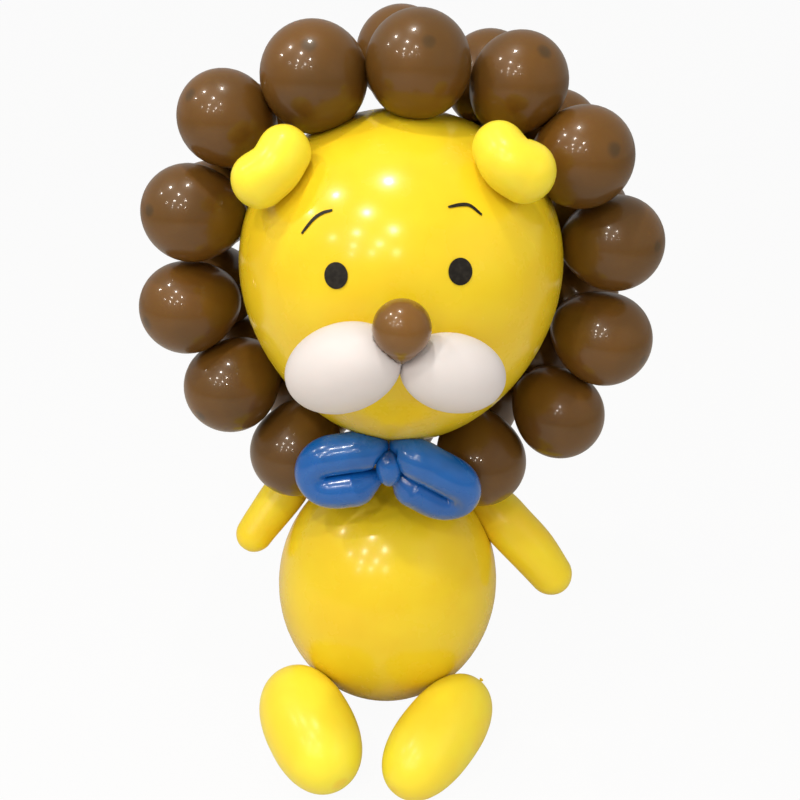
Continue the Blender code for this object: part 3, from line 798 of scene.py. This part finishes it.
def make_brows():
    per_metre = math.degrees(2.0 / HEAD_D)
    for name, brow in BROWS.items():
        leave_all()
        bpy.ops.mesh.primitive_grid_add(x_subdivisions=BROW_SECTIONS, y_subdivisions=2, size=2.0)
        strip = bpy.context.active_object
        strip.name = strip.data.name = name + "_sticker"
        line, distances = smooth_path([Vector((turn, rise, 0.0)) for turn, rise in brow])
        edit(strip)
        work = bmesh.from_edit_mesh(strip.data)
        for point in work.verts:
            share = (point.co.x + 1.0) / 2
            row = point.co.y
            place = at_distance(line, distances, share * distances[-1])
            near = at_distance(line, distances, min(share + BROW_STEP, 1.0) * distances[-1])
            far = at_distance(line, distances, max(share - BROW_STEP, 0.0) * distances[-1])
            along = (near - far).normalized()
            full = BROW_END + (1.0 - BROW_END) * math.sin(math.pi * share) ** BROW_ROUND
            width = BROW_W / 2 * per_metre * full
            corner = place + Vector((-along.y, along.x, 0.0)) * width * row
            point.co = head_skin.point(corner.x, corner.y, STICKER_LIFT)
        bmesh.update_edit_mesh(strip.data)
        thicken(strip)
        done(strip, black_vinyl, "black_vinyl", name)


# Ears: each station is (turn, rise, diameter) on the head
EAR_END, EAR_SIDES, EAR_SECTIONS = 0.9, 48, 14
EARS = {"ear_left": ((-51.7, 48.5, 0.0580), (-50.6, 42.6, 0.0585), (-54.8, 37.5, 0.0618)),
        "ear_right": ((42.5, 51.0, 0.0568), (41.6, 45.0, 0.0620), (46.5, 40.8, 0.0664))}
EAR_FOLD, EAR_FOLD_SPREAD = 0.0055, 0.022


def fold(piece, inside):
    """Presses in the side of an ear that faces away from its bend, where the bubble is folded."""
    (a, _), (middle, thick), (b, _) = inside
    away = (a + b) / 2 - middle
    along = (b - a).normalized()
    away = (away - along * away.dot(along)).normalized()
    spot = middle + away * thick / 2
    edit(piece)
    nearest = min((v.co.copy() for v in piece.data.vertices), key=lambda co: (co - spot).length)
    choose(piece, lambda co: (co - nearest).length < SAME_PLACE)
    bpy.ops.transform.translate(value=-away * EAR_FOLD, use_proportional_edit=True,
                                proportional_edit_falloff="SMOOTH",
                                proportional_size=EAR_FOLD_SPREAD)
    bpy.ops.object.mode_set(mode="OBJECT")


def make_ears():
    ears = []
    for name, ear in EARS.items():
        inside = [(head_skin.point(turn, rise, thick / 2 + AIR), thick)
                  for turn, rise, thick in ear]
        ends = []
        for (point, thick), (inner, _) in ((inside[0], inside[1]), (inside[2], inside[1])):
            ends.append((point + (point - inner).normalized() * thick / 2 * EAR_END, thick))
        piece = bent_balloon(name + "_bubble", [ends[0], *inside, ends[1]], EAR_SIDES,
                             EAR_SECTIONS, round_start=True)
        fold(piece, inside)
        ears.append(done(piece, yellow_pale_painted_light, "yellow_latex", name))
    return ears


# Arms: each station is (turn, rise, height over the body's skin, share of the diameter)
ARM_SIDES, ARM_SECTIONS = 48, 26
ARM_LEFT_D, ARM_RIGHT_D = 0.0620, 0.0724
ARM_LEFT = ((-116.0, 60.0, 0.0160, 0.24), (-113.5, 51.0, 0.0255, 0.60),
            (-110.3, 40.1, 0.0326, 0.98), (-104.6, 34.0, 0.0328, 1.0), (-97.9, 26.1, 0.0375, 0.93),
            (-94.3, 21.6, 0.0428, 0.88), (-89.1, 14.3, 0.0540, 0.80))
ARM_RIGHT = ((114.0, 56.0, 0.0120, 0.24), (110.0, 46.5, 0.0160, 0.58), (105.5, 37.5, 0.0200, 0.86),
             (98.1, 29.8, 0.0270, 0.98), (93.4, 23.9, 0.0350, 1.0), (89.8, 13.6, 0.0556, 0.98),
             (87.5, 4.0, 0.0798, 0.86), (86.2, -1.2, 0.0981, 0.78))


def make_arms():
    arms = []
    for name, arm, wide in (("arm_left", ARM_LEFT, ARM_LEFT_D),
                            ("arm_right", ARM_RIGHT, ARM_RIGHT_D)):
        stations = [(body_skin.point(turn, rise, lift), wide * full)
                    for turn, rise, lift, full in arm]
        piece = bent_balloon(name + "_bubble", stations, ARM_SIDES, ARM_SECTIONS)
        dent(piece, body_press())
        smooth_but_edges(piece)
        arms.append(done(piece, yellow_long_painted_light, "yellow_latex", name))
    return arms


# Legs: side, diameter, length and how far the toe points in, in degrees
LEG_FULLNESS, LEG_HEEL_UP = 2.3, 11.5
LEG_RINGS, LEG_SIDES, LEG_LAST = 40, 56, 163.0
LEGS = {"leg_left": (1.0, 0.1190, 0.187, 29.1), "leg_right": (-1.0, 0.1080, 0.195, 37.6)}


def make_legs():
    for name, (side, wide, long, toe_in) in LEGS.items():
        turn, rise = math.radians(side * toe_in), math.radians(-LEG_HEEL_UP)
        toe = Vector((math.cos(rise) * math.sin(turn), -math.cos(rise) * math.cos(turn),
                      math.sin(rise)))
        points = [v.co.copy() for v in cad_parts[name].data.vertices]
        along = [co.dot(toe) for co in points]
        crown = points[along.index(max(along))]
        middle = crown - toe * long / 2
        rings = round_rings(wide, long, LEG_RINGS, 0.0, LEG_LAST, LEG_FULLNESS)
        rings += neck_rings(rings[-1], *LEG_TIE)
        leg = blown(name + "_balloon", rings, LEG_SIDES)
        settle_in(leg, turn_to(toe, middle))
        sit_flat(leg)
        done(leg, yellow_pale_painted_light, "yellow_latex", name)


# Bow: a tube folded into two loops, whose halves press each other flat. The upper half of a loop
# starts with (out, up, share of the diameter), from the middle and in tube diameters, and the lower
# half with (share of the way from the foot, share of the diameter).
BOW_TUBE_D, BOW_PRESSED, BOW_CREASE = 0.0488, 0.0530, 0.0007
BOW_BEND, BOW_TIP = 0.60, 0.84
BOW_LEFT = {"long": 0.119, "droop": 9.5, "raise": 0.0070, "twist": 0.0}
BOW_RIGHT = {"long": 0.127, "droop": 30.4, "raise": 0.0135, "twist": 22.0}
BOW_TILT, BOW_SIDE, BOW_FORWARD, BOW_BELOW_CHIN = 4.0, -0.0152, 0.0966, 0.0203
BOW_TOP = ((0.10, 0.34, 0.40), (0.18, 0.43, 0.60), (0.34, 0.50, 0.84))
BOW_FOOT_OUT, BOW_FOOT_DOWN = 0.04, 0.07
BOW_FOOT = ((0.10, 0.24), (0.36, 0.46), (0.66, 0.76))
BOW_FULL, BOW_TURN = (0.62, 0.92), (90, 65, 40, 20)
BOW_SIDES, BOW_SECTIONS = 48, 100
BOW_OPEN, BOW_LEVEL = 0.2, 0.6
BOW_SOFT = {"factor": 0.5, "iterations": 8}
KNOT_D, KNOT_H, KNOT_FORWARD, KNOT_RAISE = 0.0328, 0.0478, 0.0120, 0.0067
KNOT_SIDES, KNOT_COUNT, KNOT_TAPER = 40, 30, -0.12

tilt = math.radians(BOW_TILT)
bow_up = Vector((0.0, math.sin(tilt), math.cos(tilt)))
bow_front = Vector((0.0, -math.cos(tilt), math.sin(tilt)))
bow_middle = Vector((head_middle.x + BOW_SIDE, head_middle.y - BOW_FORWARD,
                     head_middle.z - HEAD_H / 2 - BOW_BELOW_CHIN))


def knot(name, extra=0.0):
    rings = round_rings(KNOT_D + extra, KNOT_H + extra, KNOT_COUNT, KNOT_TAPER)
    piece = blown(name, rings, KNOT_SIDES)
    settle_in(piece, turn_to(-bow_up, bow_middle + Vector((0.0, -KNOT_FORWARD, KNOT_RAISE))))
    return piece


def loop_stations(sideways, start, along, over, bend):
    """Places and diameters round a loop, from the knot over its top and tip and back below."""
    apart = BOW_TUBE_D + BOW_CREASE - BOW_PRESSED / 2
    foot = bow_middle + (sideways * BOW_FOOT_OUT - bow_up * BOW_FOOT_DOWN) * BOW_TUBE_D
    halves = []
    for first, way in zip(BOW_FULL, (1.0, -1.0)):
        full_at = start + along * BOW_TUBE_D * first + over * way * apart
        if way > 0.0:
            half = [(bow_middle + (sideways * out + bow_up * rise) * BOW_TUBE_D, BOW_PRESSED * full)
                    for out, rise, full in BOW_TOP]
        else:
            half = [(foot.lerp(full_at, share), BOW_PRESSED * full) for share, full in BOW_FOOT]
        half.append((full_at, BOW_PRESSED))
        half.append((full_at + along * (bend - BOW_TUBE_D * first) / 2, BOW_PRESSED))
        for angle in BOW_TURN:
            angle = math.radians(angle)
            half.append((start + along * (bend + BOW_TUBE_D * BOW_BEND * math.cos(angle))
                         + over * way * apart * math.sin(angle),
                         BOW_PRESSED * (BOW_TIP + (1.0 - BOW_TIP) * math.sin(angle) ** 2)))
        halves.append(half)
    tip = (start + along * (bend + BOW_TUBE_D * BOW_BEND), BOW_PRESSED * BOW_TIP)
    return [*halves[0], tip, *reversed(halves[1])]


def make_bow():
    for name, side, loop in (("bow_loop_left", -1.0, BOW_LEFT), ("bow_loop_right", 1.0, BOW_RIGHT)):
        droop, twist = math.radians(loop["droop"]), math.radians(loop["twist"])
        sideways = Vector((side, 0.0, 0.0))
        along = sideways * math.cos(droop) - bow_up * math.sin(droop)
        over = sideways * math.sin(droop) + bow_up * math.cos(droop)
        over = over * math.cos(twist) + bow_front * math.sin(twist)
        bend = loop["long"] - BOW_TUBE_D * (BOW_TIP / 2 + BOW_BEND)
        start = bow_middle + Vector((0.0, 0.0, loop["raise"]))
        piece = bent_balloon(name + "_bubble", loop_stations(sideways, start, along, over, bend),
                             BOW_SIDES, BOW_SECTIONS, round_end=False)
        press_halves(piece, start, along, over, bend)
        finish_with(piece, "SMOOTH", **BOW_SOFT)
        cut_at_middle(piece, side)
        dent(piece, knot("knot_press", 2 * AIR))
        dent(piece, head_press())
        smooth_but_edges(piece)
        done(piece, blue_skin, "blue_latex", name)
    done(knot("bow_knot_bubble"), blue_skin, "blue_latex", "bow_knot")


def cut_at_middle(piece, side):
    """Cuts a loop flat where it meets the other one, behind the knot."""
    edit(piece)
    bpy.ops.mesh.select_all(action="SELECT")
    bpy.ops.mesh.bisect(plane_co=(bow_middle.x + side * AIR, 0.0, 0.0), plane_no=(side, 0.0, 0.0),
                        use_fill=True, clear_inner=True)
    bpy.ops.object.mode_set(mode="OBJECT")


def press_halves(piece, start, along, over, bend):
    """Flattens the two halves of a folded bubble against each other along the fold's middle."""
    crown, lip = (piece.data.attributes[name].data for name in ("from_crown", "from_lip"))
    lowest = BOW_CREASE / 2
    for point in piece.data.vertices:
        half = 1.0 if crown[point.index].value > lip[point.index].value else -1.0
        off = point.co - start
        out = off.dot(along)
        if out > bend + BOW_TUBE_D * BOW_OPEN:
            continue
        level = min(max(out / BOW_TUBE_D / BOW_LEVEL, 0.0), 1.0)
        line = (bow_middle.lerp(start, level) - start).dot(over)
        height = (off.dot(over) - line) * half
        if height < lowest:
            point.co += over * half * (lowest - height)


# Floor, light and camera. What the camera sees of the floor is a pale glow to this share, and for
# the rest the floor itself.
FLOOR_SIZE, FLOOR_SHARE = 160.0, 0.96


def make_floor():
    """A plain pale floor, brighter to the camera than to what stands on it."""
    leave_all()
    bpy.ops.mesh.primitive_plane_add(size=FLOOR_SIZE, location=(0.0, 0.0, 0.0))
    floor = bpy.context.active_object
    floor.name = "pale_floor"
    finish, tree, shader = new_finish("pale_floor")
    shader.inputs["Base Color"].default_value = (0.62, 0.60, 0.57, 1.0)
    shader.inputs["Roughness"].default_value = 0.8
    shader.inputs["Specular IOR Level"].default_value = 0.1
    pale = add(tree, "ShaderNodeEmission")
    pale.inputs["Color"].default_value = (0.99, 0.99, 0.99, 1.0)
    pale.inputs["Strength"].default_value = 1.0
    path = add(tree, "ShaderNodeLightPath")
    share = sums(tree, "MULTIPLY", path.outputs["Is Camera Ray"], FLOOR_SHARE)
    mix = add(tree, "ShaderNodeMixShader")
    join(tree, share, mix.inputs[0])
    join(tree, shader.outputs[0], mix.inputs[1])
    join(tree, pale.outputs[0], mix.inputs[2])
    join(tree, mix.outputs[0], tree.nodes["Material Output"].inputs["Surface"])
    floor.data.materials.append(finish)


CEILING = 2.353
LAMPS = ((-0.19, -0.29), (-1.23, -0.29), (-2.29, -0.29), (-0.73, -1.06), (-0.20, -1.79),
         (-1.29, -1.78), (-2.36, -1.78), (-0.74, -2.53), (-1.80, -2.53), (-0.20, -3.28),
         (-1.26, -3.28), (-2.32, -3.28))
LAMP_D, LAMP_POWER, LAMP_COLOUR = 0.09, 9.2, (1.0, 0.94, 0.86)
FILL_SIZE, FILL_POWER, FILL_COLOUR = 1.4, 14.0, (1.0, 0.97, 0.93)
FILL_PLACE = (1.7, -1.3, 1.5)
ROOM_COLOUR, ROOM_LIGHT = (1.0, 0.975, 0.94, 1.0), 0.44


def add_lamp(name, shape, size, power, colour, place):
    data = bpy.data.lights.new(name, "AREA")
    data.shape, data.size, data.energy, data.color = shape, size, power, colour
    lamp = put_in_scene(name, data)
    lamp.location = place
    return lamp


def make_lights():
    """Round ceiling lamps that the balloons mirror, a soft fill that they don't, and the room."""
    for k, (x, y) in enumerate(LAMPS):
        add_lamp(f"ceiling_lamp_{k}", "DISK", LAMP_D, LAMP_POWER, LAMP_COLOUR, (x, y, CEILING))
    fill = add_lamp("soft_fill", "SQUARE", FILL_SIZE, FILL_POWER, FILL_COLOUR, FILL_PLACE)
    fill.rotation_euler = (fill.location - body_middle).to_track_quat("Z", "Y").to_euler()
    fill.visible_glossy = False
    room = bpy.data.worlds.new("room")
    bpy.context.scene.world = room
    room.use_nodes = True
    back = room.node_tree.nodes["Background"]
    back.inputs["Color"].default_value = ROOM_COLOUR
    back.inputs["Strength"].default_value = ROOM_LIGHT


CAMERA_FROM_HEAD = (-0.0042, -1.1224, 0.3562)
CAMERA_DOWN, CAMERA_TURN = 25.19, -0.15
CAMERA_LENS, CAMERA_FILM = 41.94, 36.0


def make_camera():
    data = bpy.data.cameras.new("camera")
    data.lens, data.sensor_width = CAMERA_LENS, CAMERA_FILM
    camera = put_in_scene("camera", data)
    camera.location = head_middle + Vector(CAMERA_FROM_HEAD)
    camera.rotation_euler = (math.radians(90.0 - CAMERA_DOWN), 0.0, math.radians(CAMERA_TURN))
    bpy.context.scene.camera = camera


head = make_head()
body = make_body()
make_muzzle(make_nose())
make_eyes()
make_brows()
ears = make_ears()
arms = make_arms()
make_legs()
make_bow()
make_mane([head, body, *ears, *arms])
make_floor()
make_lights()
make_camera()
bpy.context.scene.view_settings.view_transform = "Standard"
leave_all()
